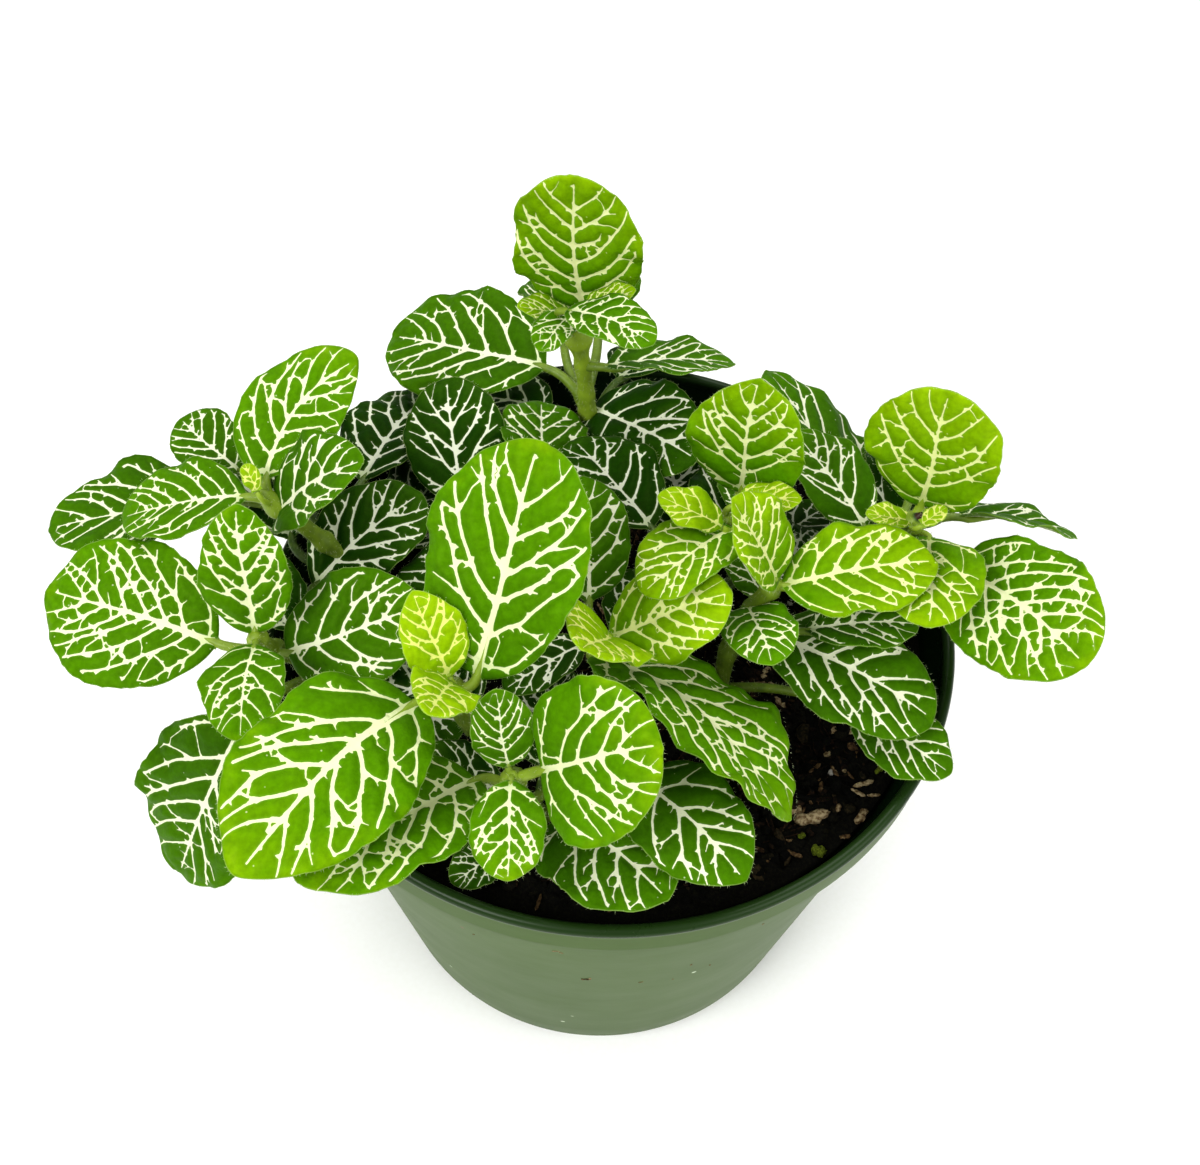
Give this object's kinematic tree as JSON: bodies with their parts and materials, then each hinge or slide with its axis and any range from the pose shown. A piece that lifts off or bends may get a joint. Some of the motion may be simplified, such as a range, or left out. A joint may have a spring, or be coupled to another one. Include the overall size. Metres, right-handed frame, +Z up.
{
  "type": "potted nerve plant",
  "caption": "Small round nursery pot of potting mix with a low bushy foliage plant, its rounded leaves on soft upright stems.",
  "frame": {"origin": "middle of the pot's foot, on the surface it stands on", "axes": "+Z up along the pot's axis; the picture looks along +Y from above, with +X to its right"},
  "size_m": [0.1656, 0.1307, 0.1509],
  "materials": {
    "pot": "satin sage green",
    "potting_mix": "rough dark peat mix",
    "leaves": "soft green with pale veins"
  },
  "bodies": {
    "root": {"pot": "pot", "potting_mix": "potting_mix", "stem_back": "leaves", "stem_left_back": "leaves", "stem_left_front": "leaves", "stem_front_left": "leaves", "stem_front": "leaves", "stem_middle": "leaves", "stem_middle_back": "leaves", "stem_right_back": "leaves", "stem_right_front": "leaves", "stem_right": "leaves"}
  },
  "joints": []
}
